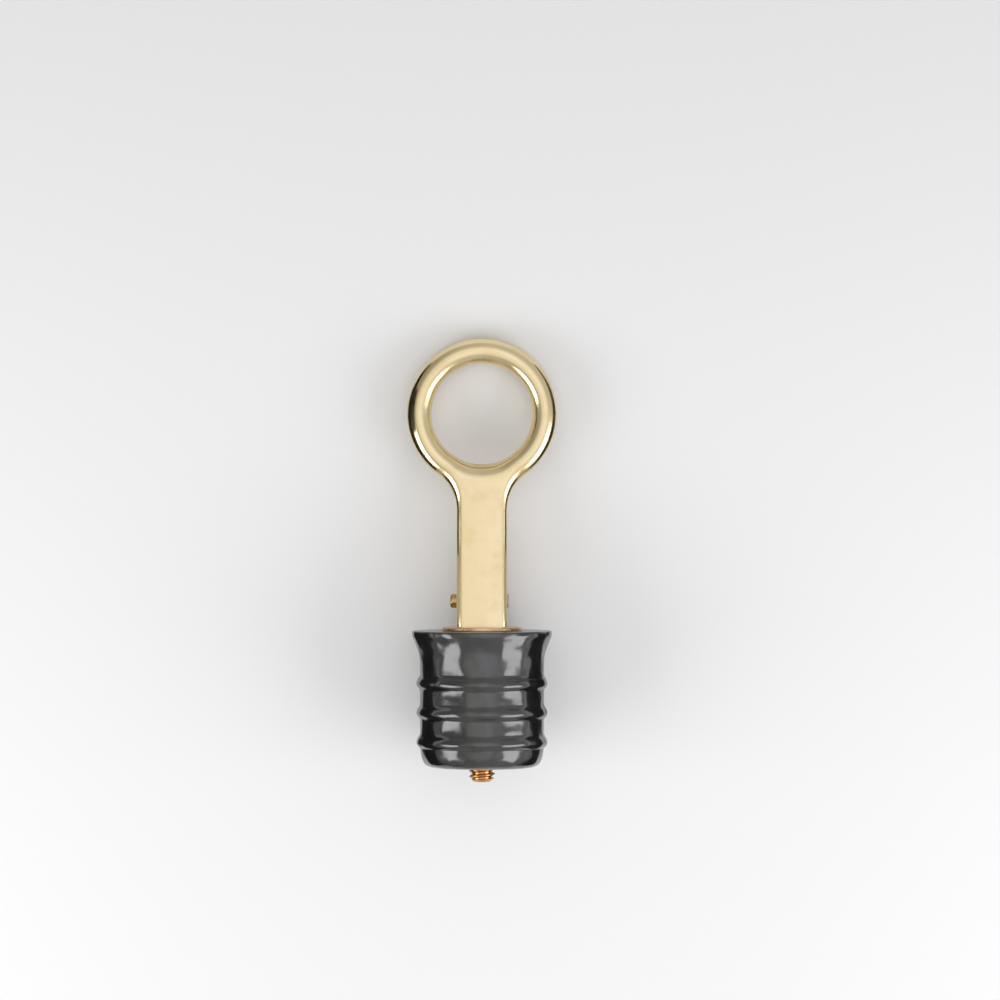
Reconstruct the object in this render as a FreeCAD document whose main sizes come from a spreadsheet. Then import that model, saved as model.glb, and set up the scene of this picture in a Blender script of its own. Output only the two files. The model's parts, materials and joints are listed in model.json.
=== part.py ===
import FreeCAD, Part
import math
import os
import Sketcher

# Drain plug for a boat. A drawn brass lever with a ring snaps over a cam. The cam presses a
# washer down on a neoprene bung, which gets shorter and wider and so seals the drain tube.
#
# The pieces are drawn with the plug upright: Z is the plug's axis, Z = 0 is the top of the
# bung, the ring is up and the lever's flat face looks along -Y. At the end the whole plug is
# laid down as it comes to rest, on the flange's rim and the far end of the ring.

doc = FreeCAD.newDocument("drain_plug")
sheet = doc.addObject("Spreadsheet::Sheet", "Dims")

# Driving dimensions, in millimetres
DIMENSIONS = [
    ("tube_bore", 31.75, "inside diameter of the drain tube, one and a quarter inches"),
    ("tube_gap", 0.275, "gap between the ribs and the tube, on the radius"),
    ("bung_length", 32.5, "bung, top to foot"),
    ("bung_diameter", 29.5, "bung between its ribs"),
    ("flange_diameter", 33.3, "flange that stays outside the tube"),
    ("flange_rim", 1.0, "height of the flange's straight rim"),
    ("flange_bevel", 0.35, "bevel of the flange's top edge"),
    ("flange_depth", 6.4, "depth at which the flange has run into the bung"),
    ("flange_hollow", 0.25, "how far the slope under the flange is hollow"),
    ("first_rib", 12.4, "depth of the first rib's middle"),
    ("rib_spacing", 7.0, "rib to rib"),
    ("rib_count", 3, "ribs on the bung"),
    ("rib_land", 1.0, "width of a rib's crest"),
    ("rib_rise", 1.3, "slope above a rib's crest"),
    ("rib_fall", 0.7, "steeper slope below a rib's crest"),
    ("foot_width", 2.75, "rounding of the foot, across the plug"),
    ("foot_gap", 0.1, "straight run from the last rib to the foot's rounding"),
    ("washer_diameter", 19.0, "top washer"),
    ("washer_thickness", 0.9, "top washer"),
    ("washer_bevel", 0.2, "bevel of the washer's top edge"),
    ("stud_diameter", 6.2, "over the thread's crests"),
    ("stud_reach", 3.45, "length of the stud below the foot"),
    ("stud_point", 1.1, "length of the bevel at the stud's end"),
    ("stud_end", 3.9, "diameter of the stud's end face"),
    ("stud_gap", 0.08, "gap round the stud in the bung and the washer"),
    ("thread_gap", 0.05, "gap between the stud and the nut"),
    ("barrel_diameter", 6.8, "barrel at the top of the stud"),
    ("barrel_gap", 0.2, "gap between the barrel and each cheek"),
    ("pin_diameter", 3.3, "pivot pin"),
    ("pin_gap", 0.05, "running gap of the pin in the barrel"),
    ("pin_seat", 0.02, "gap of the pin in the cheeks"),
    ("pin_proud", 1.5, "how far the pin stands out of the left cheek"),
    ("pin_flush", 0.3, "how far the pin stands out of the right cheek"),
    ("pin_bevel", 0.25, "bevel of the pin's ends"),
    ("nut_flats", 11.1, "nut across its flats"),
    ("nut_height", 5.5, "nut"),
    ("nut_bevel", 0.8, "depth of the bevel on the nut's corners"),
    ("nut_gap", 0.08, "gap between the nut's flats and its pocket"),
    ("sheet_thickness", 1.3, "brass sheet of the lever"),
    ("shank_width", 12.0, "lever's shank, over its cheeks"),
    ("shank_roll", 1.5, "rounding along the shank's front edges"),
    ("ring_diameter", 35.8, "ring, outside"),
    ("ring_hole", 24.0, "ring, inside"),
    ("ring_crest", 0.1, "flat left on the ring's crest where the neck's rolls end"),
    ("ring_height", 44.5, "pivot to the ring's middle"),
    ("neck_radius", 10.5, "hollow curve from the shank to the ring"),
    ("web_depth", 5.0, "pivot to the lever's flat face"),
    ("wall_depth", 1.5, "pivot to the back edge of the lever's walls"),
    ("cam_low", 6.2, "pivot to the washer, lever upright"),
    ("cam_stroke", 3.0, "how much further the cam pushes, lever folded"),
    ("lobe_height", 5.2, "pivot to the top of the cam's second flat"),
    ("lobe_run", 7.5, "length over which a cheek narrows above the cam"),
    ("lobe_rounding", 2.0, "rounding at the top of the cam"),
    ("lobe_blend", 8.0, "rounding where a cheek meets the wall's back edge"),
]
for row, (alias, number, meaning) in enumerate(DIMENSIONS, start=1):
    sheet.set(f"A{row}", meaning)
    sheet.set(f"B{row}", str(number))
    sheet.setAlias(f"B{row}", alias)
doc.recompute()

# Sizes that several pieces share, as expressions on the sheet
RIB_RADIUS = "(Dims.tube_bore / 2 - Dims.tube_gap)"
BUNG_RADIUS = "(Dims.bung_diameter / 2)"
FLANGE_RADIUS = "(Dims.flange_diameter / 2)"
LAST_RIB = "(Dims.first_rib + (Dims.rib_count - 1) * Dims.rib_spacing)"
RIBS_END = f"({LAST_RIB} + Dims.rib_land / 2 + Dims.rib_fall)"
FOOT_HEIGHT = f"(Dims.bung_length - {RIBS_END} - Dims.foot_gap)"
STUD_RADIUS = "(Dims.stud_diameter / 2)"
STUD_TIP = "(-Dims.bung_length - Dims.stud_reach)"
PIVOT_HEIGHT = "(Dims.washer_thickness + Dims.cam_low)"
CAM_HIGH = "(Dims.cam_low + Dims.cam_stroke)"
HALF_SHANK = "(Dims.shank_width / 2)"
RING_MIDDLE = f"({PIVOT_HEIGHT} + Dims.ring_height)"
RING_CREST = "((Dims.ring_diameter + Dims.ring_hole) / 4)"
RING_ROLL = "((Dims.ring_diameter - Dims.ring_hole) / 4)"
LEVER_TOP = f"({RING_MIDDLE} + Dims.ring_diameter / 2)"

# Slope of the line that the plug rests along, from the flange's rim to the ring's far end.
# The rim tapers as much, so the plug lies on a line of the rim and not on its edge.
REST_SLOPE = f"(({FLANGE_RADIUS} - Dims.wall_depth) / ({LEVER_TOP} + Dims.flange_bevel))"

# How a curved side of an outline turns, seen along the way round
LEFT = "left"
RIGHT = "right"

# Flats that stand for a rounding where a true one would need thousands of facets
FOOT_FLAT_COUNT = 3
CROWN_FLAT_COUNT = 7
CHANNEL_FLAT_COUNT = 3

SPARE = 1.0  # how far a cutting shape runs past what it cuts
NEAR = 1e-4  # two places closer than this are the same


def value(expression):
    """What an expression on the sheet comes to."""
    return float(sheet.evalExpression(expression))


def bind(sketch, kind, *where, expression):
    """Constrain a sketch to an expression on the sheet."""
    number = sketch.addConstraint(Sketcher.Constraint(kind, *where, value(expression)))
    sketch.setExpression(f"Constraints[{number}]", expression)


def curved_side(start, end, radius, turn):
    """The arc of this radius between two points, and whether it runs from start to end."""
    chord = end - start
    rise = math.sqrt(max(radius**2 - (chord.Length / 2) ** 2, 0.0))
    left = FreeCAD.Vector(-chord.y, chord.x, 0).normalize()
    from_start = turn == LEFT
    middle = (start + end) / 2 + left * (rise if from_start else -rise)
    first, last = (start, end) if from_start else (end, start)
    angles = [math.atan2(p.y - middle.y, p.x - middle.x) for p in (first, last)]
    circle = Part.Circle(middle, FreeCAD.Vector(0, 0, 1), radius)
    return Part.ArcOfCircle(circle, *angles), from_start


def draw_outline(sketch, corners, curves=None):
    """Close an outline through the corners, each a pair of expressions. curves gives the
    radius and the turn of the sides that aren't straight, by the side's number."""
    curves = curves or {}
    points = [FreeCAD.Vector(value(x), value(y), 0) for x, y in corners]
    ends = []
    for side, start in enumerate(points):
        end = points[(side + 1) % len(points)]
        if side in curves:
            radius, turn = curves[side]
            arc, from_start = curved_side(start, end, value(radius), turn)
            number = sketch.addGeometry(arc)
            bind(sketch, "Radius", number, expression=radius)
            ends.append((number, 1, 2) if from_start else (number, 2, 1))
        else:
            ends.append((sketch.addGeometry(Part.LineSegment(start, end)), 1, 2))
    for side, (number, start_end, _) in enumerate(ends):
        before, _, before_end = ends[side - 1]
        sketch.addConstraint(
            Sketcher.Constraint("Coincident", before, before_end, number, start_end)
        )
        x, y = corners[side]
        bind(sketch, "DistanceX", -1, 1, number, start_end, expression=x)
        bind(sketch, "DistanceY", -1, 1, number, start_end, expression=y)


def draw_circle(sketch, radius, x="0", y="0"):
    """Draw a circle, its radius and middle given as expressions."""
    middle = FreeCAD.Vector(value(x), value(y), 0)
    up = FreeCAD.Vector(0, 0, 1)
    number = sketch.addGeometry(Part.Circle(middle, up, value(radius)))
    bind(sketch, "Radius", number, expression=radius)
    bind(sketch, "DistanceX", -1, 1, number, 3, expression=x)
    bind(sketch, "DistanceY", -1, 1, number, 3, expression=y)


def draw_hexagon(sketch, across_flats):
    """Draw a hexagon round the origin, its size given as an expression."""
    turns = range(0, 360, 60)
    draw_outline(
        sketch,
        [
            (
                f"{across_flats} / sqrt(3) * cos({turn} deg)",
                f"{across_flats} / sqrt(3) * sin({turn} deg)",
            )
            for turn in turns
        ],
    )


def new_body(name):
    """A body whose label names its file."""
    body = doc.addObject("PartDesign::Body", name)
    body.Label = name
    return body


def body_sketch(body, name, plane):
    """A sketch on one of the body's own origin planes."""
    sketch = body.newObject("Sketcher::SketchObject", name)
    planes = [f for f in body.Origin.OriginFeatures if f.Role == plane]
    sketch.AttachmentSupport = [(planes[0], "")]
    sketch.MapMode = "FlatFace"
    return sketch


def feature(body, kind, name, sketch, **settings):
    """Make a body's feature from a sketch. A setting that is text with Dims is bound."""
    made = body.newObject(f"PartDesign::{kind}", name)
    made.Profile = sketch
    for setting, given in settings.items():
        if isinstance(given, str) and "Dims." in given:
            made.setExpression(setting, given)
        else:
            setattr(made, setting, given)
    sketch.Visibility = False
    doc.recompute()
    return made


def edges_where(shape, test):
    """The numbers of the edges that pass a test, counted from 1."""
    return [n for n, edge in enumerate(shape.Edges, start=1) if test(edge)]


def bevel_edges(body, name, base, numbers, size):
    """Bevel edges of a body's feature, given by their numbers."""
    bevel = body.newObject("PartDesign::Chamfer", name)
    bevel.Base = (base, [f"Edge{n}" for n in numbers])
    bevel.setExpression("Size", size)
    doc.recompute()


def make_bung():
    """Neoprene bung: a turned form with a flange, ribs and a rounded foot, bored for the
    stud and with a pocket for the nut."""
    body = new_body("rubber_bung")
    profile = body_sketch(body, "BungProfile", "XZ_Plane")
    foot = "-Dims.bung_length"
    corners = [("0", "0"), ("0", foot)]
    for step in range(FOOT_FLAT_COUNT + 1):
        turn = 90 / FOOT_FLAT_COUNT * step
        corners.append(
            (
                f"{BUNG_RADIUS} - Dims.foot_width * (1 - sin({turn} deg))",
                f"{foot} + {FOOT_HEIGHT} * (1 - cos({turn} deg))",
            )
        )
    for rib in reversed(range(int(value("Dims.rib_count")))):
        middle = f"-(Dims.first_rib + {rib} * Dims.rib_spacing)"
        below = f"{middle} - Dims.rib_land / 2"
        above = f"{middle} + Dims.rib_land / 2"
        corners += [
            (BUNG_RADIUS, f"{below} - Dims.rib_fall"),
            (RIB_RADIUS, below),
            (RIB_RADIUS, above),
            (BUNG_RADIUS, f"{above} + Dims.rib_rise"),
        ]
    corners += [
        (BUNG_RADIUS, "-Dims.flange_depth"),
        (
            f"({BUNG_RADIUS} + {FLANGE_RADIUS}) / 2 - Dims.flange_hollow",
            "-(Dims.flange_depth + Dims.flange_rim) / 2",
        ),
        (
            f"{FLANGE_RADIUS} - (Dims.flange_rim - Dims.flange_bevel) * {REST_SLOPE}",
            "-Dims.flange_rim",
        ),
        (FLANGE_RADIUS, "-Dims.flange_bevel"),
        (f"{FLANGE_RADIUS} - Dims.flange_bevel", "0"),
    ]
    draw_outline(profile, corners)
    feature(
        body,
        "Revolution",
        "BungTurned",
        profile,
        ReferenceAxis=(profile, ["V_Axis"]),
        Angle=360,
    )
    bore = body_sketch(body, "StudBore", "XY_Plane")
    draw_circle(bore, f"{STUD_RADIUS} + Dims.stud_gap")
    feature(body, "Pocket", "StudHole", bore, Type="ThroughAll", SideType="Symmetric")
    pocket = body_sketch(body, "NutPocket", "XY_Plane")
    draw_hexagon(pocket, "(Dims.nut_flats + 2 * Dims.nut_gap)")
    pocket.setExpression("AttachmentOffset.Base.z", "-Dims.bung_length")
    feature(
        body,
        "Pocket",
        "NutHole",
        pocket,
        Length="Dims.nut_height",
        Reversed=True,
    )
    return body


def make_washer():
    """Brass washer between the cam and the bung."""
    body = new_body("top_washer")
    outline = body_sketch(body, "WasherOutline", "XY_Plane")
    draw_circle(outline, "Dims.washer_diameter / 2")
    draw_circle(outline, f"{STUD_RADIUS} + Dims.stud_gap")
    disc = feature(body, "Pad", "WasherDisc", outline, Length="Dims.washer_thickness")
    rim = edges_where(
        disc.Shape,
        lambda edge: edge.BoundBox.ZMin > NEAR
        and edge.BoundBox.XMax > value("Dims.washer_diameter") / 2 - NEAR,
    )
    bevel_edges(body, "WasherRim", disc, rim, "Dims.washer_bevel")
    return body


def make_stud():
    """Brass stud: a barrel across its top for the pivot pin, and a bevelled end."""
    body = new_body("threaded_stud")
    profile = body_sketch(body, "StudProfile", "XZ_Plane")
    corners = [
        ("0", STUD_TIP),
        ("Dims.stud_end / 2", STUD_TIP),
        (STUD_RADIUS, f"{STUD_TIP} + Dims.stud_point"),
        (STUD_RADIUS, PIVOT_HEIGHT),
        ("0", PIVOT_HEIGHT),
    ]
    draw_outline(profile, corners)
    feature(
        body,
        "Revolution",
        "StudTurned",
        profile,
        ReferenceAxis=(profile, ["V_Axis"]),
        Angle=360,
    )
    barrel = body_sketch(body, "BarrelOutline", "YZ_Plane")
    draw_circle(barrel, "Dims.barrel_diameter / 2", y=PIVOT_HEIGHT)
    feature(
        body,
        "Pad",
        "Barrel",
        barrel,
        Length="Dims.shank_width - 2 * Dims.sheet_thickness - 2 * Dims.barrel_gap",
        SideType="Symmetric",
    )
    eye = body_sketch(body, "PinBore", "YZ_Plane")
    draw_circle(eye, "Dims.pin_diameter / 2 + Dims.pin_gap", y=PIVOT_HEIGHT)
    feature(body, "Pocket", "PinHole", eye, Type="ThroughAll", SideType="Symmetric")
    return body


def make_nut():
    """Brass nut in the foot of the bung, its corners bevelled at the open side."""
    body = new_body("base_nut")
    outline = body_sketch(body, "NutOutline", "XY_Plane")
    draw_hexagon(outline, "Dims.nut_flats")
    draw_circle(outline, f"{STUD_RADIUS} + Dims.thread_gap")
    outline.setExpression("AttachmentOffset.Base.z", "-Dims.bung_length")
    feature(body, "Pad", "NutBlank", outline, Length="Dims.nut_height")
    bevel = body_sketch(body, "NutBevel", "XZ_Plane")
    corner = "Dims.nut_flats / sqrt(3)"
    foot = "-Dims.bung_length"
    draw_outline(
        bevel,
        [
            ("Dims.nut_flats / 2", f"{foot} - {SPARE}"),
            (f"{corner} + {SPARE}", f"{foot} - {SPARE}"),
            (f"{corner} + {SPARE}", f"{foot} + Dims.nut_bevel"),
            (corner, f"{foot} + Dims.nut_bevel"),
            ("Dims.nut_flats / 2", foot),
        ],
    )
    feature(
        body,
        "Groove",
        "NutCorners",
        bevel,
        ReferenceAxis=(bevel, ["V_Axis"]),
        Angle=360,
    )
    return body


def make_pin():
    """Brass pin through both cheeks and the barrel, pressed in from the left."""
    body = new_body("pivot_pin")
    outline = body_sketch(body, "PinOutline", "YZ_Plane")
    draw_circle(outline, "Dims.pin_diameter / 2", y=PIVOT_HEIGHT)
    outline.setExpression("AttachmentOffset.Base.z", f"-{HALF_SHANK} - Dims.pin_proud")
    rod = feature(
        body,
        "Pad",
        "PinRod",
        outline,
        Length="Dims.shank_width + Dims.pin_proud + Dims.pin_flush",
    )
    ends = edges_where(rod.Shape, lambda edge: edge.BoundBox.XLength < NEAR)
    bevel_edges(body, "PinEnds", rod, ends, "Dims.pin_bevel")
    return body


def plane_sketch(name, turn):
    """A sketch that stands in a plane through the plug's axis."""
    sketch = doc.addObject("Sketcher::SketchObject", name)
    sketch.Placement = FreeCAD.Placement(FreeCAD.Vector(), turn)
    return sketch


def extrusion(name, sketch, forward, back):
    """A solid from a sketch, pushed out both ways by two expressions."""
    made = doc.addObject("Part::Extrusion", name)
    made.Base = sketch
    made.DirMode = "Normal"
    made.Solid = True
    made.setExpression("LengthFwd", forward)
    made.setExpression("LengthRev", back)
    doc.recompute()
    return made


def crowned_ring(name, inset, flat_count):
    """The lever's ring as a solid of half-round section, its crown drawn with flats."""
    section = plane_sketch(f"{name}Section", FreeCAD.Rotation())
    roll = f"({RING_ROLL} - {inset})"
    spring = f"(Dims.web_depth - {RING_ROLL})"
    corners = [
        (f"{RING_CREST} - {roll}", f"Dims.wall_depth + {SPARE}"),
        (f"{RING_CREST} + {roll}", f"Dims.wall_depth + {SPARE}"),
    ]
    for step in range(flat_count + 1):
        turn = 180 / flat_count * step
        corners.append(
            (
                f"{RING_CREST} + {roll} * cos({turn} deg)",
                f"-{spring} - {roll} * sin({turn} deg) / cos({90 / flat_count} deg)",
            )
        )
    draw_outline(section, corners)
    ring = doc.addObject("Part::Revolution", f"{name}Ring")
    ring.Source = section
    ring.Axis = FreeCAD.Vector(0, 1, 0)
    ring.Angle = 360
    ring.Solid = True
    ring.setExpression("Placement.Base.z", RING_MIDDLE)
    doc.recompute()
    return ring


def neck_and_shank(name, inset):
    """The lever's form below the ring as a solid block. Its necks run into the ring."""
    front = plane_sketch(f"{name}Plan", FreeCAD.Rotation(FreeCAD.Vector(1, 0, 0), 90))
    half = f"({HALF_SHANK} - {inset})"
    neck = f"(Dims.neck_radius + {inset})"
    ring = f"(Dims.ring_diameter / 2 - {inset})"
    neck_x = f"({half} + {neck})"
    neck_drop = f"sqrt(({ring} + {neck})^2 - {neck_x}^2)"
    neck_z = f"({RING_MIDDLE} - {neck_drop})"
    foot = f"{PIVOT_HEIGHT} - {CAM_HIGH}"
    corners = [(f"-{half}", foot), (half, foot), (half, neck_z)]
    for reach, side in ((ring, ""), (RING_CREST, ""), (RING_CREST, "-"), (ring, "-")):
        share = f"({reach} / ({ring} + {neck}))"
        corners.append(
            (f"{side}{neck_x} * {share}", f"{RING_MIDDLE} - {neck_drop} * {share}")
        )
    corners.append((f"-{half}", neck_z))
    draw_outline(
        front, corners, {2: (neck, RIGHT), 4: (RING_CREST, RIGHT), 6: (neck, RIGHT)}
    )
    return extrusion(
        f"{name}Block", front, f"Dims.web_depth - {inset}", f"{CAM_HIGH} + {SPARE}"
    )


def roll_front_edges(name, block):
    """Round the front edges of the necks, and with them the shank's. The round grows along
    a neck to half the width of the ring's crown."""
    shank_roll = value("Dims.shank_roll")
    ring_roll = value(f"{RING_ROLL} - Dims.ring_crest / 2")
    neck_radius = value("Dims.neck_radius")
    face_y = -value("Dims.web_depth")
    rolls = []
    for number, edge in enumerate(block.Shape.Edges, start=1):
        if abs(edge.BoundBox.YMax - face_y) > NEAR:
            continue
        if isinstance(edge.Curve, Part.Circle) and abs(edge.Curve.Radius - neck_radius) < NEAR:
            radii = [shank_roll, ring_roll]
            if edge.firstVertex().Point.z > edge.lastVertex().Point.z:
                radii.reverse()
            rolls.append((number, *radii))
    rolled = doc.addObject("Part::Fillet", name)
    rolled.Base = block
    rolled.Edges = rolls
    doc.recompute()
    return rolled


def make_side_profile():
    """The lever seen from its side, as a slab: the cam, and the back edge of the walls.

    The cam is flat where it holds the washer with the lever upright, then rises by the same
    amount for each degree, and is flat again where it holds with the lever folded. Three
    arcs of 30 degrees make the rise, each with the radius that keeps it even."""
    sketch = plane_sketch("SideProfile", FreeCAD.Rotation(FreeCAD.Vector(1, 1, 1), 120))
    arc_degrees = 30
    arc_count = 90 // arc_degrees
    rise = f"(Dims.cam_stroke / {arc_count})"
    lead = f"({rise} / 2 / tan({arc_degrees / 2} deg))"
    front = f"-Dims.web_depth - {SPARE}"
    top = f"{LEVER_TOP} + {SPARE}"
    corners = [(front, f"{PIVOT_HEIGHT} - Dims.cam_low")]
    curves = {}
    for step in range(arc_count + 1):
        reach = f"(Dims.cam_low + {step} * {rise})"
        sine = f"sin({step * arc_degrees} deg)"
        cosine = f"cos({step * arc_degrees} deg)"
        if step < arc_count:
            curves[len(corners)] = (f"{reach} + {rise} / 2", LEFT)
        corners.append(
            (
                f"{reach} * {sine} + {lead} * {cosine}",
                f"{PIVOT_HEIGHT} - {reach} * {cosine} + {lead} * {sine}",
            )
        )
    lobe_top = f"{PIVOT_HEIGHT} + Dims.lobe_height"
    corners += [
        (CAM_HIGH, lobe_top),
        ("Dims.wall_depth", f"{lobe_top} + Dims.lobe_run"),
        ("Dims.wall_depth", top),
        (front, top),
    ]
    draw_outline(sketch, corners, curves)
    half = f"Dims.ring_diameter / 2 + {SPARE}"
    slab = extrusion("SideSlab", sketch, half, half)
    places = [
        (value(CAM_HIGH), value(lobe_top), value("Dims.lobe_rounding")),
        (
            value("Dims.wall_depth"),
            value(f"{lobe_top} + Dims.lobe_run"),
            value("Dims.lobe_blend"),
        ),
    ]
    rolls = []
    for y, z, radius in places:
        for number in edges_where(
            slab.Shape,
            lambda edge, y=y, z=z: abs(edge.CenterOfMass.y - y) < NEAR
            and abs(edge.CenterOfMass.z - z) < NEAR,
        ):
            rolls.append((number, radius, radius))
    rounded = doc.addObject("Part::Fillet", "SideRounded")
    rounded.Base = slab
    rounded.Edges = rolls
    doc.recompute()
    return rounded


def combine(kind, name, base, tool):
    """Cut a tool from a base, or keep what the two share."""
    made = doc.addObject(f"Part::{kind}", name)
    made.Base = base
    made.Tool = tool
    doc.recompute()
    return made


def make_lever():
    """Brass lever drawn from one sheet: a ring of half-round section, a flat-faced shank
    that is open at the back, and two cheeks that end in the cam."""
    front = roll_front_edges("RolledFront", neck_and_shank("Outside", "0"))
    crown = crowned_ring("Outside", "0", CROWN_FLAT_COUNT)
    outside = combine("Fuse", "OuterSkin", crown, front)
    sheet_in = "Dims.sheet_thickness"
    channel = crowned_ring("Inside", sheet_in, CHANNEL_FLAT_COUNT)
    inside = combine("Fuse", "InnerSkin", channel, neck_and_shank("Inside", sheet_in))
    shell = combine("Cut", "DrawnSheet", outside, inside)
    trimmed = combine("Common", "TrimmedSheet", shell, make_side_profile())
    drill = doc.addObject("Part::Cylinder", "PinDrill")
    drill.setExpression("Radius", "Dims.pin_diameter / 2 + Dims.pin_seat")
    drill.setExpression("Height", f"Dims.shank_width + 2 * {SPARE}")
    drill.Placement.Rotation = FreeCAD.Rotation(FreeCAD.Vector(0, 1, 0), 90)
    drill.setExpression("Placement.Base.x", f"-{HALF_SHANK} - {SPARE}")
    drill.setExpression("Placement.Base.z", PIVOT_HEIGHT)
    lever = combine("Cut", "lever", trimmed, drill)
    lever.Label = "lever"
    return lever


def rest_angle():
    """How far the ring's end lies below level when the plug is laid down."""
    return math.degrees(math.atan(value(REST_SLOPE)))


def lay_down(subparts, angle):
    """Put the plug on its side with the lever's face up, the ring towards +Y, standing on
    Z = 0 with the middle of its box over the origin."""
    turn = FreeCAD.Rotation(FreeCAD.Vector(1, 0, 0), -90 - angle)
    for part in subparts:
        part.Placement = FreeCAD.Placement(FreeCAD.Vector(), turn)
    doc.recompute()
    box = FreeCAD.BoundBox()
    for part in subparts:
        box.add(part.Shape.optimalBoundingBox(False))
    shift = FreeCAD.Vector(-box.Center.x, -box.Center.y, -box.ZMin)
    for part in subparts:
        part.Placement = FreeCAD.Placement(shift, turn)
    doc.recompute()
    return shift


subparts = [
    make_bung(),
    make_nut(),
    make_stud(),
    make_washer(),
    make_lever(),
    make_pin(),
]
angle = rest_angle()
shift = lay_down(subparts, angle)

for item in doc.Objects:
    if "Invalid" in item.State or "Error" in item.State:
        raise RuntimeError(f"{item.Label} is {item.State}")
for part in subparts:
    shape = part.Shape
    if shape.isNull() or not shape.isValid() or len(shape.Solids) != 1:
        raise RuntimeError(f"{part.Label} isn't one valid solid")

os.makedirs("parts", exist_ok=True)
for part in subparts:
    part.Shape.exportStep(f"parts/{part.Label}.step")
    print(f"{part.Label}: {part.Shape.Volume:.1f} cubic mm, {len(part.Shape.Faces)} faces")
pivot = subparts[0].Placement.multVec(FreeCAD.Vector(0, 0, value(PIVOT_HEIGHT)))
print(f"rest angle {angle:.4f} degrees, pivot at {pivot}, bung top at {shift}")
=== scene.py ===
# %% [markdown]
# # A snap-lever drain plug
#
# This plug closes the drain tube of a small boat. A brass lever with a ring folds over a
# cam, the cam presses a washer down, and the rubber below it gets shorter and wider until
# it grips the tube. Here it lies on its side, open, as it comes out of a drawer.
#
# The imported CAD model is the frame: every piece below is made in the same place and in the
# same metres, so nothing has to be fitted by hand.

# %% The frame, and the plug's own axes
import json
import math

import bmesh
import bpy
from mathutils import Matrix, Vector


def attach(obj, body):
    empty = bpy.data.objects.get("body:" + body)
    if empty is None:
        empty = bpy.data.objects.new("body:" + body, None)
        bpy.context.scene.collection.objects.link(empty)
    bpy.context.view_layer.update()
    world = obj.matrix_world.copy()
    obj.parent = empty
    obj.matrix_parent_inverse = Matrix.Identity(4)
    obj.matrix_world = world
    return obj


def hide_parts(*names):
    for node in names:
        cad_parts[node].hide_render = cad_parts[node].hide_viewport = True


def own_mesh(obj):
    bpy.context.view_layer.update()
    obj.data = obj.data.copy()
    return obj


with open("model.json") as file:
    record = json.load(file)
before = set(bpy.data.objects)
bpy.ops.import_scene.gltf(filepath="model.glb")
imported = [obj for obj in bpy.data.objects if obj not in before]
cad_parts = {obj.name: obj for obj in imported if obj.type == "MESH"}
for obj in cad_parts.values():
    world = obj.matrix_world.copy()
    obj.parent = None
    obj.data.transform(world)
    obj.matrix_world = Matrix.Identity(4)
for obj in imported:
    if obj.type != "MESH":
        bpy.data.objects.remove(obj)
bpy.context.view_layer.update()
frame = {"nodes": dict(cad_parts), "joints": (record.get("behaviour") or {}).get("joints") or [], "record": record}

# %% [markdown]
# The plug lies tilted, so its pieces are easier to draw standing upright. Upright, Z is
# the plug's axis with the ring on top, Z = 0 is the top of the rubber and the lever's flat
# face looks along -Y. `LAY` puts upright millimetres where the CAD has the plug. It comes
# from two joints of the record: the nut climbs along the axis, and the handle turns about
# the middle of the rubber's top.

# %% Upright millimetres to the plug as it lies
MM = 0.001
joints = {joint["name"]: joint for joint in frame["joints"]}
axis_up = Vector(joints["nut_climb"]["axis"]).normalized()
across = Vector((1, 0, 0))
backward = axis_up.cross(across)
turn = Matrix((across, backward, axis_up)).transposed().to_4x4()
LAY = Matrix.Translation(joints["handle_turn"]["pos_m"]) @ turn @ Matrix.Scale(MM, 4)
UPRIGHT = LAY.inverted()


def plug_box(node):
    """Lowest and highest corner of a CAD node along the plug's own axes, in millimetres."""
    corners = [UPRIGHT @ vertex.co for vertex in frame["nodes"][node].data.vertices]
    return [
        Vector([pick(corner[k] for corner in corners) for k in range(3)])
        for pick in (min, max)
    ]


pivot = UPRIGHT @ Vector(joints["lever_fold"]["pos_m"])
bung_low, bung_high = plug_box("rubber_bung")
lever_low, lever_high = plug_box("lever")
print("pivot above the rubber:", round(pivot.z, 3), "mm")
print("lever's box:", [round(c, 2) for c in (*lever_low, *lever_high)])

# %% [markdown]
# ## Ways of working that several pieces share
#
# Most of the plug is turned on a lathe or moulded round. Blender's spin does the same: it
# carries half an outline round the axis. A corner of the outline is rounded first with a
# bevel of its vertex, because a real edge is never sharp and its round catches the light.

# %% Turned forms
TURN_STEPS = 160
ROUND_SEGMENTS = 6
MERGE = 1e-4  # millimetres
INSIDE = 0.03  # what a true circle keeps inside the CAD's flats, in millimetres


def turned(corners, steps=TURN_STEPS, closed=False):
    """Spin an outline about the plug's axis. Each corner is a radius, a height and the
    length that its rounding takes from each side."""
    bm = bmesh.new()
    points = [bm.verts.new((radius, 0, height)) for radius, height, _ in corners]
    for start, end in zip(points, points[1:]):
        bm.edges.new((start, end))
    if closed:
        bm.edges.new((points[-1], points[0]))
    for point, (_, _, rounding) in zip(points, corners):
        if rounding:
            bmesh.ops.bevel(
                bm,
                geom=[point],
                offset=rounding,
                offset_type="OFFSET",
                affect="VERTICES",
                segments=ROUND_SEGMENTS,
                profile=0.5,
                material=-1,
            )
    bmesh.ops.spin(
        bm,
        geom=bm.verts[:] + bm.edges[:],
        cent=(0, 0, 0),
        axis=(0, 0, 1),
        angle=math.tau,
        steps=steps,
        use_merge=True,
    )
    bmesh.ops.remove_doubles(bm, verts=bm.verts, dist=MERGE)
    bmesh.ops.recalc_face_normals(bm, faces=bm.faces)
    return bm


# %% [markdown]
# A bore, a cut end or a thread's bevelled point is one solid taken from another. A Boolean
# does it in one step where inset and extrude would need a fitting pattern of faces. The
# helper works on two bmeshes and hands back a third.


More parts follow.
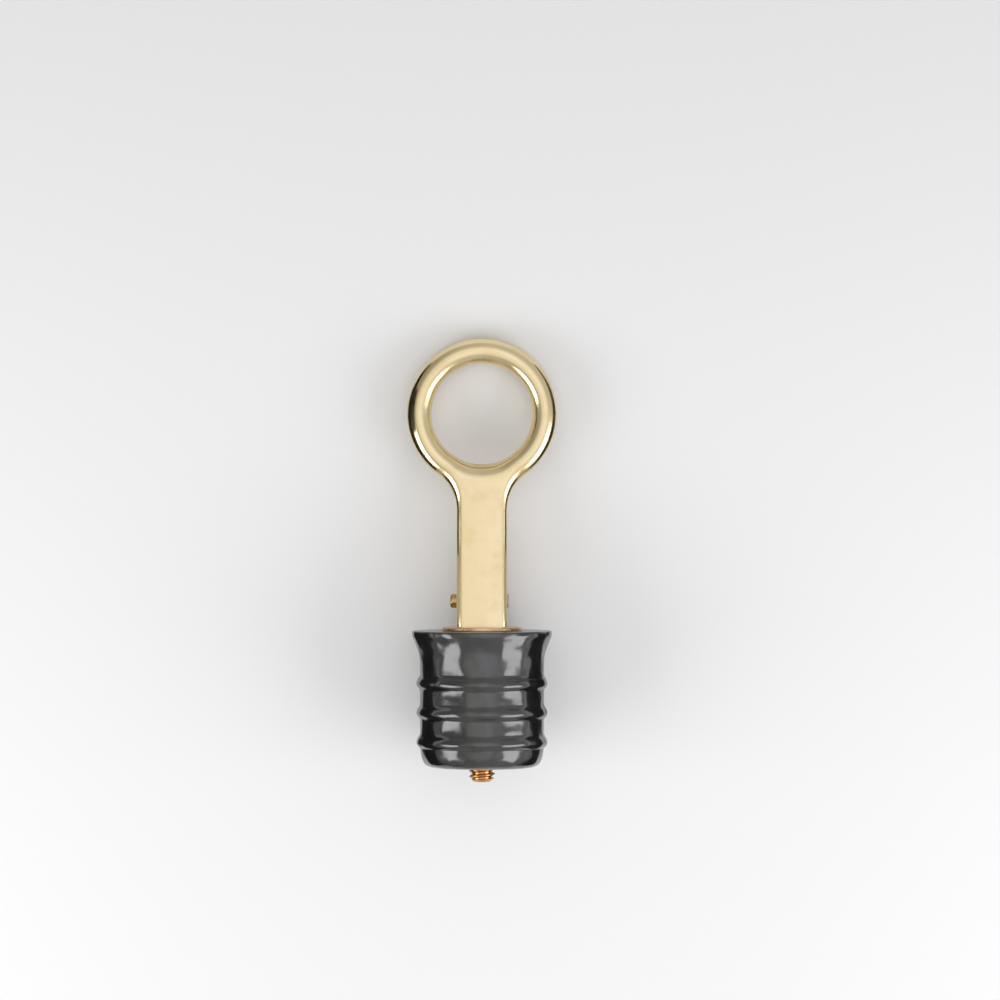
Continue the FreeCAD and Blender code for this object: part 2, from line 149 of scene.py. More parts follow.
# %% Cutting and joining solids
def scratch_object(name, bm):
    """A short-lived object round a bmesh, which it uses up."""
    mesh = bpy.data.meshes.new(name)
    bm.to_mesh(mesh)
    bm.free()
    thing = bpy.data.objects.new(name, mesh)
    bpy.context.scene.collection.objects.link(thing)
    return thing


def combine(operation, base, tool):
    """What a Boolean leaves of two bmeshes."""
    body = scratch_object("cut_body", base)
    cutter = scratch_object("cut_tool", tool)
    cut = body.modifiers.new("cut", "BOOLEAN")
    cut.operation = operation
    cut.solver = "EXACT"
    cut.object = cutter
    left = body.evaluated_get(bpy.context.evaluated_depsgraph_get())
    result = bmesh.new()
    result.from_mesh(left.to_mesh())
    left.to_mesh_clear()
    for thing in (body, cutter):
        mesh = thing.data
        bpy.data.objects.remove(thing)
        bpy.data.meshes.remove(mesh)
    bmesh.ops.remove_doubles(result, verts=result.verts, dist=MERGE)
    bmesh.ops.dissolve_degenerate(result, edges=result.edges, dist=MERGE)
    many_sided = [face for face in result.faces if len(face.verts) > 4]
    bmesh.ops.triangulate(result, faces=many_sided, ngon_method="BEAUTY")
    return result


def rod(radius, middle, length, direction, steps=64):
    """A plain round bar, for bores and cuts."""
    bm = bmesh.new()
    place = Matrix.Translation(middle) @ direction.to_track_quat("Z", "Y").to_matrix().to_4x4()
    bmesh.ops.create_cone(
        bm,
        cap_ends=True,
        segments=steps,
        radius1=radius,
        radius2=radius,
        depth=length,
        matrix=place,
    )
    return bm


# %% [markdown]
# Every piece ends the same way: it is laid down into the frame, smooth-shaded with crisp
# edges where two faces meet at a real angle, given its finish in its one material slot and
# hung on the body that carries it, and the CAD node that it stands for is hidden. Weighted
# normals keep the flat faces flat in a mirror finish.


# %% Handing a piece over
def finish_piece(name, bm, finish, body, node, crisp_degrees=32):
    """Put a bmesh in its place as a piece of the plug."""
    bm.transform(LAY)
    mesh = bpy.data.meshes.new(name)
    bm.to_mesh(mesh)
    bm.free()
    mesh.shade_smooth()
    mesh.set_sharp_from_angle(angle=math.radians(crisp_degrees))
    mesh.materials.append(finish)
    piece = bpy.data.objects.new(name, mesh)
    bpy.context.scene.collection.objects.link(piece)
    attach(piece, body)
    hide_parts(node)
    print(f"{name}: {len(mesh.polygons)} faces")
    return piece


def keep_flats_flat(piece):
    """Let a piece's large faces set the direction of its smooth shading."""
    weighted = piece.modifiers.new("flat_faces", "WEIGHTED_NORMAL")
    weighted.mode = "FACE_AREA"
    weighted.keep_sharp = True


# %% [markdown]
# ## Finishes
#
# A finish is a node tree on Object coordinates, so its pattern has a real size and stays
# on the piece when the lever folds. These helpers make the few patterns that they share.


# %% Patterns for the finishes
def new_finish(name):
    """An empty finish: its nodes, its links, its shader and its coordinates."""
    finish = bpy.data.materials.new(name)
    finish.use_nodes = True
    nodes, links = finish.node_tree.nodes, finish.node_tree.links
    shader = nodes["Principled BSDF"]
    coordinates = nodes.new("ShaderNodeTexCoord").outputs["Object"]
    return finish, nodes, links, shader, coordinates


def grain(nodes, links, coordinates, size_mm, stretch=(1, 1, 1), detail=3, roughness=0.5):
    """Soft noise with features of about this size, drawn out along an axis if asked."""
    mapping = nodes.new("ShaderNodeMapping")
    mapping.inputs["Scale"].default_value = [1 / (size_mm * MM * way) for way in stretch]
    links.new(coordinates, mapping.inputs["Vector"])
    noise = nodes.new("ShaderNodeTexNoise")
    noise.inputs["Scale"].default_value = 1
    noise.inputs["Detail"].default_value = detail
    noise.inputs["Roughness"].default_value = roughness
    links.new(mapping.outputs["Vector"], noise.inputs["Vector"])
    return noise.outputs["Fac"]


def spread(nodes, links, pattern, low, high, start=0.35, end=0.65):
    """A pattern's middle range stretched to run from one number to another."""
    ramp = nodes.new("ShaderNodeMapRange")
    ramp.interpolation_type = "SMOOTHSTEP"
    ramp.inputs["From Min"].default_value = start
    ramp.inputs["From Max"].default_value = end
    ramp.inputs["To Min"].default_value = low
    ramp.inputs["To Max"].default_value = high
    links.new(pattern, ramp.inputs["Value"])
    return ramp.outputs["Result"]


def blend_colours(nodes, links, share, first, second):
    """A colour between two, by a pattern from 0 to 1."""
    mix = nodes.new("ShaderNodeMix")
    mix.data_type = "RGBA"
    mix.inputs["A"].default_value = (*first, 1)
    mix.inputs["B"].default_value = (*second, 1)
    links.new(share, mix.inputs["Factor"])
    return mix.outputs["Result"]


def relief(nodes, links, height, depth_mm, before=None):
    """Fine relief of this depth, on top of another if given."""
    bump = nodes.new("ShaderNodeBump")
    bump.inputs["Strength"].default_value = 1
    bump.inputs["Distance"].default_value = depth_mm * MM
    links.new(height, bump.inputs["Height"])
    if before is not None:
        links.new(before, bump.inputs["Normal"])
    return bump.outputs["Normal"]


# %% [markdown]
# Brass on such a plug is stamped or turned, then tumbled bright. It mirrors softly, with
# slow waves from the press, faint rub marks and patches where handling has dulled it. One
# function makes all four brasses, because they differ in tone and in how dull they are,
# not in kind.


# %% Brass
def brass(name, bright, dull, smooth, rough, wave_mm):
    """Brass between two tones and two roughnesses, with a slow wave in its surface."""
    finish, nodes, links, shader, coordinates = new_finish(name)
    shader.inputs["Metallic"].default_value = 1
    patches = grain(nodes, links, coordinates, 7, detail=4)
    specks = grain(nodes, links, coordinates, 0.5, detail=2)
    tone = spread(nodes, links, patches, 0, 1, 0.42, 0.72)
    links.new(blend_colours(nodes, links, tone, bright, dull), shader.inputs["Base Color"])
    wear = nodes.new("ShaderNodeMath")
    wear.operation = "MULTIPLY_ADD"
    links.new(spread(nodes, links, specks, -1, 1), wear.inputs[0])
    wear.inputs[1].default_value = (rough - smooth) * 0.2
    links.new(spread(nodes, links, patches, smooth, rough), wear.inputs[2])
    links.new(wear.outputs["Value"], shader.inputs["Roughness"])
    waves = relief(nodes, links, grain(nodes, links, coordinates, 6, detail=1), wave_mm)
    rubs = grain(nodes, links, coordinates, 0.25, stretch=(1, 14, 1), detail=2)
    links.new(relief(nodes, links, rubs, 0.0012, waves), shader.inputs["Normal"])
    return finish


polished_brass = brass(
    "polished_brass", (0.87, 0.72, 0.43), (0.82, 0.66, 0.37), 0.17, 0.25, 0.008
)
washer_brass = brass(
    "washer_brass", (0.8, 0.57, 0.36), (0.66, 0.43, 0.25), 0.2, 0.36, 0.004
)
rivet_brass = brass(
    "rivet_brass", (0.58, 0.42, 0.18), (0.4, 0.27, 0.1), 0.22, 0.36, 0.004
)
turned_brass = brass(
    "turned_brass", (0.6, 0.33, 0.13), (0.4, 0.2, 0.07), 0.2, 0.36, 0.004
)

# %% [markdown]
# The neoprene is moulded black and shiny, almost wet to look at. Its skin isn't a perfect
# mirror: slow dents bend the reflections, and a fine orange peel blurs them.


# %% Glossy neoprene
def neoprene_skin():
    """Shiny black moulded rubber."""
    finish, nodes, links, shader, coordinates = new_finish("glossy_neoprene")
    bloom = spread(nodes, links, grain(nodes, links, coordinates, 5, detail=4), 0, 1)
    colour = blend_colours(nodes, links, bloom, (0.006, 0.0065, 0.007), (0.011, 0.0115, 0.012))
    links.new(colour, shader.inputs["Base Color"])
    shader.inputs["IOR"].default_value = 2.0
    peel = grain(nodes, links, coordinates, 0.6, detail=1)
    links.new(spread(nodes, links, peel, 0.15, 0.2), shader.inputs["Roughness"])
    dents = relief(nodes, links, grain(nodes, links, coordinates, 6, detail=1), 0.8)
    links.new(relief(nodes, links, peel, 0.0008, dents), shader.inputs["Normal"])
    return finish


glossy_neoprene = neoprene_skin()

# %% [markdown]
# ## The rubber bung
#
# One moulding: a flange that stops at the tube's mouth, a hollow curve under it, three low
# ribs that seal first, and a well-rounded foot. It could be a cylinder with rings added,
# but a moulding has no joints between them, so the whole outline is spun at once. Each rib
# has a soft crest and a steeper underside.

# %% The bung's outline
RIB_RADIUS = frame["record"]["mounts"][0]["dims"]["r_mm"]
BUNG_RADIUS = 14.75
FLANGE_RADIUS = bung_high.x - INSIDE
FOOT = bung_low.z
RIB_HEIGHTS = (-12.4, -19.4, -26.4)
BORE = 3.18

outline = [(BORE, 0, 0), (FLANGE_RADIUS, 0, 0.35), (FLANGE_RADIUS, -1.2, 0.35)]
outline += [(15.75, -3.3, 0.9), (14.95, -5.4, 0.9), (BUNG_RADIUS, -7.6, 0.6)]
for height in RIB_HEIGHTS:
    outline += [
        (BUNG_RADIUS, height + 1.7, 0.55),
        (RIB_RADIUS, height + 0.5, 0.7),
        (RIB_RADIUS, height - 0.6, 0.55),
        (BUNG_RADIUS, height - 1.6, 0.5),
    ]
outline += [(BUNG_RADIUS, FOOT + 4.6, 1.2), (14.35, FOOT + 1.9, 1.1)]
outline += [(13.4, FOOT + 0.5, 0.75), (11.9, FOOT, 0.7), (BORE, FOOT, 0)]
bung = turned(outline, closed=True)

# %% [markdown]
# The nut sits in a six-sided pocket in the foot. The pocket is cut with a six-sided bar.

# %% The nut's pocket
NUT_FLATS = 11.1
NUT_HEIGHT = 5.5
POCKET_GAP = 0.08
CORNER = 1 / math.cos(math.pi / 6)

pocket = rod(
    (NUT_FLATS / 2 + POCKET_GAP) * CORNER,
    Vector((0, 0, FOOT)),
    2 * NUT_HEIGHT,
    Vector((0, 0, 1)),
    steps=6,
)
bmesh.ops.rotate(pocket, verts=pocket.verts, matrix=Matrix.Rotation(math.pi / 6, 3, "Z"))
bung = combine("DIFFERENCE", bung, pocket)

# %% [markdown]
# When the lever folds, the rubber is squeezed towards its foot by the cam's stroke. Here the
# bung is laid in its place and given a mesh of its own.

# %% The bung in its place
bung_piece = finish_piece(
    "moulded_bung", bung, glossy_neoprene, "bung", "rubber_bung", 50
)
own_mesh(bung_piece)

# %% [markdown]
# ## The washer
#
# A turned disc that spreads the cam's push over the rubber.

# %% The washer
WASHER_RADIUS = 9.5
WASHER_HEIGHT = 0.9

washer = turned(
    [
        (BORE, 0, 0.1),
        (WASHER_RADIUS, 0, 0.12),
        (WASHER_RADIUS, WASHER_HEIGHT, 0.28),
        (BORE, WASHER_HEIGHT, 0.1),
    ],
    closed=True,
)
finish_piece("pressed_washer", washer, washer_brass, "washer", "top_washer")

# %% [markdown]
# ## The nut
#
# A nut starts as a six-sided bar, and a lathe bevels its corners, which leaves the curved
# bright edges that every nut has. Here the same two forms are made, and what they share is
# kept.

# %% The nut
NUT_BORE = 3.15
NUT_BEVEL = 0.8

hexagon = rod(
    NUT_FLATS / 2 * CORNER,
    Vector((0, 0, FOOT + NUT_HEIGHT / 2)),
    NUT_HEIGHT,
    Vector((0, 0, 1)),
    steps=6,
)
bmesh.ops.rotate(hexagon, verts=hexagon.verts, matrix=Matrix.Rotation(math.pi / 6, 3, "Z"))
blank = turned(
    [
        (NUT_BORE, FOOT - 0.01, 0),
        (NUT_FLATS / 2, FOOT - 0.01, 0.1),
        (NUT_FLATS / 2 * CORNER + 0.5, FOOT + NUT_BEVEL + 0.5, 0),
        (NUT_FLATS / 2 * CORNER + 0.5, FOOT + NUT_HEIGHT + 1, 0),
        (NUT_BORE, FOOT + NUT_HEIGHT + 1, 0),
    ],
    closed=True,
)
nut = combine("INTERSECT", hexagon, blank)
finish_piece("hex_nut", nut, turned_brass, "nut", "base_nut")

# %% [markdown]
# ## The threaded stud
#
# The stud is an eye bolt. Its thread is what shows below the rubber, so it is a true
# helix: one tooth's outline is spun and lifted by its pitch each turn, and the turns merge
# into one skin. Rings would look right at a glance, but they don't climb.

# %% The helix
PITCH = 1.27
CREST = 3.1
ROOT = 2.42
THREAD_TOP = -19.0
STUD_TIP = plug_box("threaded_stud")[0].z
STEPS_A_TURN = 48

helix = bmesh.new()
first_turn = STUD_TIP - 2 * PITCH
turns = math.ceil((THREAD_TOP - first_turn) / PITCH) + 2
tooth = [(ROOT, 0.0), (ROOT, 0.16), (CREST, 0.56), (CREST, 0.72), (ROOT, 1.11)]
tooth.append((ROOT, PITCH))
points = [helix.verts.new((radius, 0, first_turn + height)) for radius, height in tooth]
for start, end in zip(points, points[1:]):
    helix.edges.new((start, end))
bmesh.ops.spin(
    helix,
    geom=helix.verts[:] + helix.edges[:],
    cent=(0, 0, 0),
    axis=(0, 0, 1),
    dvec=(0, 0, PITCH / STEPS_A_TURN),
    angle=math.tau * turns,
    steps=STEPS_A_TURN * turns,
)
bmesh.ops.remove_doubles(helix, verts=helix.verts, dist=MERGE)

# %% [markdown]
# The skin is open at both ends. Each open edge is drawn together to one point on the axis,
# which closes it, and a turned blank cuts the helix to length. The blank's cone makes the
# bevelled point that starts the nut.

# %% The thread as a solid, cut to length
last_turn = first_turn + turns * PITCH
for end_height, ahead in ((first_turn, -1), (last_turn, 1)):
    rim = [
        edge
        for edge in helix.edges
        if edge.is_boundary
        and all((v.co.z - end_height) * ahead > -1.1 * PITCH for v in edge.verts)
    ]
    made = bmesh.ops.extrude_edge_only(helix, edges=rim)["geom"]
    for vertex in [g for g in made if isinstance(g, bmesh.types.BMVert)]:
        vertex.co = (0, 0, end_height + ahead * PITCH)
bmesh.ops.remove_doubles(helix, verts=helix.verts, dist=MERGE)
bmesh.ops.recalc_face_normals(helix, faces=helix.faces)
open_edges = [edge for edge in helix.edges if not edge.is_manifold]
print("helix:", len(helix.faces), "faces,", len(open_edges), "open edges")

TIP_RADIUS = 1.9
CLEAR = 0.1
point = turned(
    [
        (0, STUD_TIP, 0),
        (TIP_RADIUS, STUD_TIP, 0.15),
        (CREST + CLEAR, STUD_TIP + 1.15, 0.1),
        (CREST + CLEAR, THREAD_TOP, 0),
        (0, THREAD_TOP, 0),
    ],
    steps=96,
)
thread = combine("INTERSECT", helix, point)

# %% [markdown]
# Above the thread the stud is plain, with a barrel across its top. The pivot pin runs
# through the barrel.

# %% The whole stud
BARREL_RADIUS = 3.4
BARREL_LENGTH = 9.0
PIN_RADIUS = 1.65
PIN_GAP = 0.05

SHANK_RADIUS = CREST - 0.02
shank = turned(
    [
        (0, THREAD_TOP - 0.3, 0),
        (SHANK_RADIUS, THREAD_TOP - 0.3, 0.15),
        (SHANK_RADIUS, pivot.z, 0),
        (0, pivot.z, 0),
    ],
    steps=96,
)
barrel = turned(
    [
        (0, -BARREL_LENGTH / 2, 0),
        (BARREL_RADIUS, -BARREL_LENGTH / 2, 0.3),
        (BARREL_RADIUS, BARREL_LENGTH / 2, 0.3),
        (0, BARREL_LENGTH / 2, 0),
    ],
    steps=96,
)
sideways = Matrix.Translation(pivot) @ Matrix.Rotation(math.pi / 2, 4, "Y")
barrel.transform(sideways)
eye = rod(PIN_RADIUS + PIN_GAP, pivot, 3 * BARREL_LENGTH, across)
stud = combine("UNION", thread, shank)
stud = combine("UNION", stud, barrel)
stud = combine("DIFFERENCE", stud, eye)
finish_piece("eye_stud", stud, turned_brass, "stud", "threaded_stud")

# %% [markdown]
# ## The pivot pin
#
# A rivet: a plain pin with a rounded head that stands out of the left cheek and is peened
# over on the right.

# %% The pin
pin_low, pin_high = plug_box("pivot_pin")
pin = turned(
    [
        (0, pin_low.x, 0),
        (PIN_RADIUS, pin_low.x, 0.45),
        (PIN_RADIUS, pin_high.x, 0.22),
        (0, pin_high.x, 0),
    ],
    steps=72,
)
pin.transform(sideways)
finish_piece("rivet_pin", pin, rivet_brass, "lever", "pivot_pin")

# %% [markdown]
# ## The lever
#
# The lever is one piece of sheet brass, drawn in a press: a ring with a half-round crown,
# a neck, a flat-fronted shank with rolled edges, and two cheeks that end in the cam. It
# could be sculpted from a block and rounded, but a bevel can't grow from 1.5 mm on the
# shank to 3 mm on the ring. So the outline is drawn first, with spins for its arcs, and
# its edge is rolled over step by step, as the press does.

# %% Measures of the lever
FACE = -lever_low.y
RING_RADIUS = lever_high.x - 3 * INSIDE
RING_HOLE = 12.0
HALF_SHANK = 6.0
NECK_RADIUS = 10.5
RING_MIDDLE = Vector((0, 0, lever_high.z - lever_high.x))
SHEET = 1.3
RING_ROLL = (RING_RADIUS - RING_HOLE) / 2 - 0.03
SHANK_ROLL = 1.5
WALL_BACK = lever_high.y + 1.0

neck_x = HALF_SHANK + NECK_RADIUS
neck_drop = math.sqrt((RING_RADIUS + NECK_RADIUS) ** 2 - neck_x**2)
neck_turn = math.atan2(neck_drop, neck_x)
neck_share = math.atan2(neck_x, neck_drop)
neck_low = RING_MIDDLE.z - neck_drop
neck_high = RING_MIDDLE.z - neck_drop * RING_RADIUS / (RING_RADIUS + NECK_RADIUS)
print("neck from", round(neck_low, 2), "to", round(neck_high, 2), "mm above the rubber")

# %% The outline of the lever, seen from the front
LEVER_FOOT = -4.0
plan = bmesh.new()


def arc_on(bm, middle, angle, steps):
    """Carry the outline's last point round a middle, in the plane of the lever's face."""
    bm.verts.ensure_lookup_table()
    bmesh.ops.spin(
        bm,
        geom=[bm.verts[-1]],
        cent=middle,
        axis=(0, 1, 0),
        angle=angle,
        steps=steps,
    )


def line_on(bm, end, steps):
    """Carry the outline's last point straight on."""
    bm.verts.ensure_lookup_table()
    step = (Vector(end) - bm.verts[-1].co) / steps
    bmesh.ops.spin(
        bm, geom=[bm.verts[-1]], cent=(0, 0, 0), axis=(0, 1, 0), dvec=step, angle=0, steps=steps
    )


plan.verts.new((HALF_SHANK, WALL_BACK, LEVER_FOOT))
line_on(plan, (HALF_SHANK, WALL_BACK, neck_low), 24)
arc_on(plan, (neck_x, WALL_BACK, neck_low), neck_turn, 24)
arc_on(plan, (0, WALL_BACK, RING_MIDDLE.z), 2 * neck_share - math.tau, 132)
arc_on(plan, (-neck_x, WALL_BACK, neck_low), neck_turn, 24)
line_on(plan, (-HALF_SHANK, WALL_BACK, LEVER_FOOT), 24)
plan.verts.ensure_lookup_table()
plan.edges.new((plan.verts[-1], plan.verts[0]))
outer = plan.verts[:]
hole = bmesh.ops.create_circle(
    plan,
    segments=132,
    radius=RING_HOLE,
    matrix=Matrix.Translation((0, WALL_BACK, RING_MIDDLE.z)) @ Matrix.Rotation(math.pi / 2, 4, "X"),
)["verts"]
print("outline:", len(outer), "points, hole:", len(hole))

# %% [markdown]
# The edge is rolled with repeated extrusions. The first goes straight up the wall, and the
# rest turn over a quarter circle whose radius differs from point to point: 1.5 mm along
# the shank, growing through the neck to 3 mm on the ring. Under the hole the roll is
# wider, where the crown of the ring runs out into the flat face.

# %% Rolling the edge over
ROLL_STEPS = 12


def ease(share):
    """A share from 0 to 1 that starts and ends gently."""
    share = min(max(share, 0.0), 1.0)
    return share * share * (3 - 2 * share)


def outer_roll(place):
    """Radius of the roll on the lever's outer edge."""
    return SHANK_ROLL + (RING_ROLL - SHANK_ROLL) * ease(
        (place.z - neck_low) / (neck_high - neck_low)
    )


def hole_roll(place):
    """Radius of the roll round the hole."""
    below = (RING_MIDDLE.z - place.z) / RING_HOLE
    edge = math.cos(neck_share)
    return RING_ROLL + 1.0 * ease((below - edge) / (1 - edge))


def roll_edge(bm, rim, inward, roll_at):
    """Extrude a rim up to the face and over. inward gives each point's way across."""
    ways = {v: (v.co.copy(), inward[v], roll_at(v.co)) for v in rim}
    edges = [e for e in bm.edges if all(v in ways for v in e.verts)]
    for step in range(ROLL_STEPS + 1):
        made = bmesh.ops.extrude_edge_only(bm, edges=edges)["geom"]
        edges = [g for g in made if isinstance(g, bmesh.types.BMEdge)]
        turned_by = math.pi / 2 * step / ROLL_STEPS
        next_ways = {}
        for vertex in [g for g in made if isinstance(g, bmesh.types.BMVert)]:
            below = next(e.other_vert(vertex) for e in vertex.link_edges if e.other_vert(vertex) in ways)
            start, way, radius = ways[below]
            vertex.co = start + way * radius * (1 - math.cos(turned_by))
            vertex.co.y = -(FACE - radius) - radius * math.sin(turned_by)
            next_ways[vertex] = ways[below]
        ways = next_ways
        edges = [e for e in edges if all(v in ways for v in e.verts)]
    return edges


FRONT = Vector((0, -1, 0))
outer_ways = {}
for number, vertex in enumerate(outer):
    along = outer[(number + 1) % len(outer)].co - outer[number - 1].co
    outer_ways[vertex] = FRONT.cross(along).normalized()
hole_ways = {v: (v.co - RING_MIDDLE).normalized() for v in hole}
for vertex in hole_ways:
    hole_ways[vertex] = Vector((vertex.co.x, 0, vertex.co.z - RING_MIDDLE.z)).normalized()
crest = roll_edge(plan, outer, outer_ways, outer_roll)
crest += roll_edge(plan, hole, hole_ways, hole_roll)

# %% [markdown]
# The two rolled edges now end on the face, and the flat between them is filled. The fill
# is cut into a loose grid so that the shank can get the slight crown that a press leaves,
# which is why its reflection runs softly from one side to the other.

# %% The flat face
SHANK_CROWN = 0.05

flat = bmesh.ops.triangle_fill(plan, use_beauty=True, edges=crest, normal=FRONT)["geom"]
flat_faces = {g for g in flat if isinstance(g, bmesh.types.BMFace)}


def flat_parts(bm):
    """The faces on the lever's front plane, with their edges and corners."""
    faces = [f for f in bm.faces if all(abs(v.co.y + FACE) < MERGE for v in f.verts)]
    edges = {e for f in faces for e in f.edges}
    return faces + list(edges) + list({v for e in edges for v in e.verts})


for x in (-4.2, -3.5, -2.4, -1.2, 0, 1.2, 2.4, 3.5, 4.2):
    bmesh.ops.bisect_plane(plan, geom=flat_parts(plan), plane_co=(x, 0, 0), plane_no=(1, 0, 0))
for step in range(1, 14):
    bmesh.ops.bisect_plane(plan, geom=flat_parts(plan), plane_co=(0, 0, 3.0 * step), plane_no=(0, 0, 1))
bmesh.ops.recalc_face_normals(plan, faces=plan.faces)
for vertex in plan.verts:
    if abs(vertex.co.y + FACE) < MERGE and abs(vertex.co.x) < 4.4 and vertex.co.z < neck_high:
        vertex.co.y -= SHANK_CROWN * (1 - (vertex.co.x / 4.5) ** 2) * ease((neck_high - vertex.co.z) / 9)

# %% [markdown]
# The skin gets the sheet's thickness inwards, so the ring and the shank are hollow from
# behind, as the real lever is.

# %% From skin to sheet
OPEN_FOOT = 0.4
bmesh.ops.bisect_plane(
    plan,
    geom=plan.verts[:] + plan.edges[:] + plan.faces[:],
    plane_co=(0, 0, OPEN_FOOT),
    plane_no=(0, 0, 1),
    clear_inner=True,
)
bmesh.ops.recalc_face_normals(plan, faces=plan.faces)
if sum(face.normal.y * face.calc_area() for face in plan.faces) > 0:
    bmesh.ops.reverse_faces(plan, faces=plan.faces)
skin = scratch_object("lever_skin", plan)
wall = skin.modifiers.new("sheet", "SOLIDIFY")
wall.thickness = SHEET
wall.offset = -1
wall.use_even_offset = True
evaluated = skin.evaluated_get(bpy.context.evaluated_depsgraph_get())
sheet = bmesh.new()
sheet.from_mesh(evaluated.to_mesh())
evaluated.to_mesh_clear()
skin_mesh = skin.data
bpy.data.objects.remove(skin)
bpy.data.meshes.remove(skin_mesh)

# %% [markdown]
# Seen from the side, the sheet is trimmed to the lever's profile: a low back edge along
# the ring and the shank, and two cheeks whose lower edge is the cam. The cam is flat where
# it holds the washer with the lever up, rises by the same amount for every degree, and is
# flat again with the lever down. Three arcs of 30 degrees do that.

# %% The side profile
CAM_LOW = pivot.z - WASHER_HEIGHT
RISE = 1.0
LEAD = RISE / 2 / math.tan(math.radians(15))
CAM_HIGH = lever_high.y
BACK_EDGE = 1.5
LOBE_TOP = pivot.z + 5.2

side = bmesh.new()
SIDE_X = -RING_RADIUS - 1
side.verts.new((SIDE_X, -FACE - 1, pivot.z - CAM_LOW))
side.verts.new((SIDE_X, LEAD, pivot.z - CAM_LOW))
side.verts.ensure_lookup_table()
side.edges.new(side.verts[:])
for step in range(3):
    side.verts.ensure_lookup_table()
    reach = CAM_LOW + (step + 0.5) * RISE
    heading = math.radians(30 * step)
    middle = side.verts[-1].co + Vector((0, -math.sin(heading), math.cos(heading))) * reach
    bmesh.ops.spin(
        side, geom=[side.verts[-1]], cent=middle, axis=(1, 0, 0), angle=math.radians(30), steps=14
    )
corners = [
    ((CAM_HIGH, LOBE_TOP), 0.85),
    ((BACK_EDGE, LOBE_TOP + 7.5), 3.38),
    ((BACK_EDGE, lever_high.z + 1), 0),
    ((-FACE - 1, lever_high.z + 1), 0),
]
for (y, z), rounding in corners:
    side.verts.ensure_lookup_table()
    before = side.verts[-1]
    side.edges.new((before, side.verts.new((SIDE_X, y, z))))
side.verts.ensure_lookup_table()
side.edges.new((side.verts[-1], side.verts[0]))
rounded = side.verts[-4], side.verts[-3]
for vertex, rounding in zip(rounded, (0.85, 3.38)):
    bmesh.ops.bevel(
        side,
        geom=[vertex],
        offset=rounding,
        offset_type="OFFSET",
        affect="VERTICES",
        segments=10,
        profile=0.5,
        material=-1,
    )
bmesh.ops.contextual_create(side, geom=side.edges[:])
pushed = bmesh.ops.extrude_face_region(side, geom=side.faces[:])["geom"]
bmesh.ops.translate(
    side,
    verts=[g for g in pushed if isinstance(g, bmesh.types.BMVert)],
    vec=(-2 * SIDE_X, 0, 0),
)
bmesh.ops.recalc_face_normals(side, faces=side.faces)

lever = combine("INTERSECT", sheet, side)
lever = combine("DIFFERENCE", lever, rod(PIN_RADIUS + 0.02, pivot, 4 * HALF_SHANK, across))
lever_piece = finish_piece(
    "drawn_lever", lever, polished_brass, "lever", "lever"
)
keep_flats_flat(lever_piece)

# %% [markdown]
# ## The studio
#
# A plain pale floor and soft light from overhead, as in a product photograph. The camera
# looks straight down on the lever's flat face, the way the photograph does. Large white
# panels out of view give the brass its long soft highlights.

# %% The floor
AIM = Vector((4.3, 0, 31.1))
FACE_OUT = -backward


def plane(name, width, height, finish, place):
    """A flat rectangle of the studio."""
    bm = bmesh.new()
    bmesh.ops.create_grid(bm, x_segments=1, y_segments=1, size=0.5)
    bmesh.ops.scale(bm, verts=bm.verts, vec=(width, height, 1))
    bm.transform(place)
    mesh = bpy.data.meshes.new(name)
    bm.to_mesh(mesh)
    bm.free()
    mesh.materials.append(finish)
    thing = bpy.data.objects.new(name, mesh)
    bpy.context.scene.collection.objects.link(thing)
    return thing


pale = bpy.data.materials.new("pale_floor")
pale.use_nodes = True
pale_shader = pale.node_tree.nodes["Principled BSDF"]
pale_shader.inputs["Base Color"].default_value = (0.88, 0.88, 0.88, 1)
pale_shader.inputs["Roughness"].default_value = 0.7
plane("studio_floor", 6, 6, pale, Matrix.Identity(4))

# %% [markdown]
# The lights are long soft boxes beside the plug and level with the rubber, so the rubber
# mirrors them as two broad grey stripes and the ring catches them only low on its edges.
# Dark cards stand close by on both sides, as a photographer sets them for shiny metal. They
# give the brass its thin dark edge lines and the rubber its dark flanks. Only mirror
# reflections show these cards.


# %% Soft boxes and dark cards
def plain_emission(name, colour, strength):
    """A glowing surface of one colour."""
    glow = bpy.data.materials.new(name)
    glow.use_nodes = True
    nodes, links = glow.node_tree.nodes, glow.node_tree.links
    nodes.remove(nodes["Principled BSDF"])
    emission = nodes.new("ShaderNodeEmission")
    emission.inputs["Color"].default_value = (*colour, 1)
    emission.inputs["Strength"].default_value = strength
    links.new(emission.outputs["Emission"], nodes["Material Output"].inputs["Surface"])
    return glow


def beside(name, angle, reach, width, low, high, glow, lift=0.0):
    """A rectangle along the plug, at an angle off the camera's axis and facing the plug.
    Its ends are at two heights along the plug, in metres above the rubber."""
    angle = math.radians(angle)
    out = FACE_OUT * math.cos(angle) + across * math.sin(angle)
    middle = LAY.translation + out * reach + axis_up * (low + high) / 2 + FACE_OUT * lift
    facing = Matrix((axis_up.cross(out), axis_up, out)).transposed().to_4x4()
    panel = plane(name, width, high - low, glow, Matrix.Translation(middle) @ facing)
    panel.visible_camera = False
    return panel


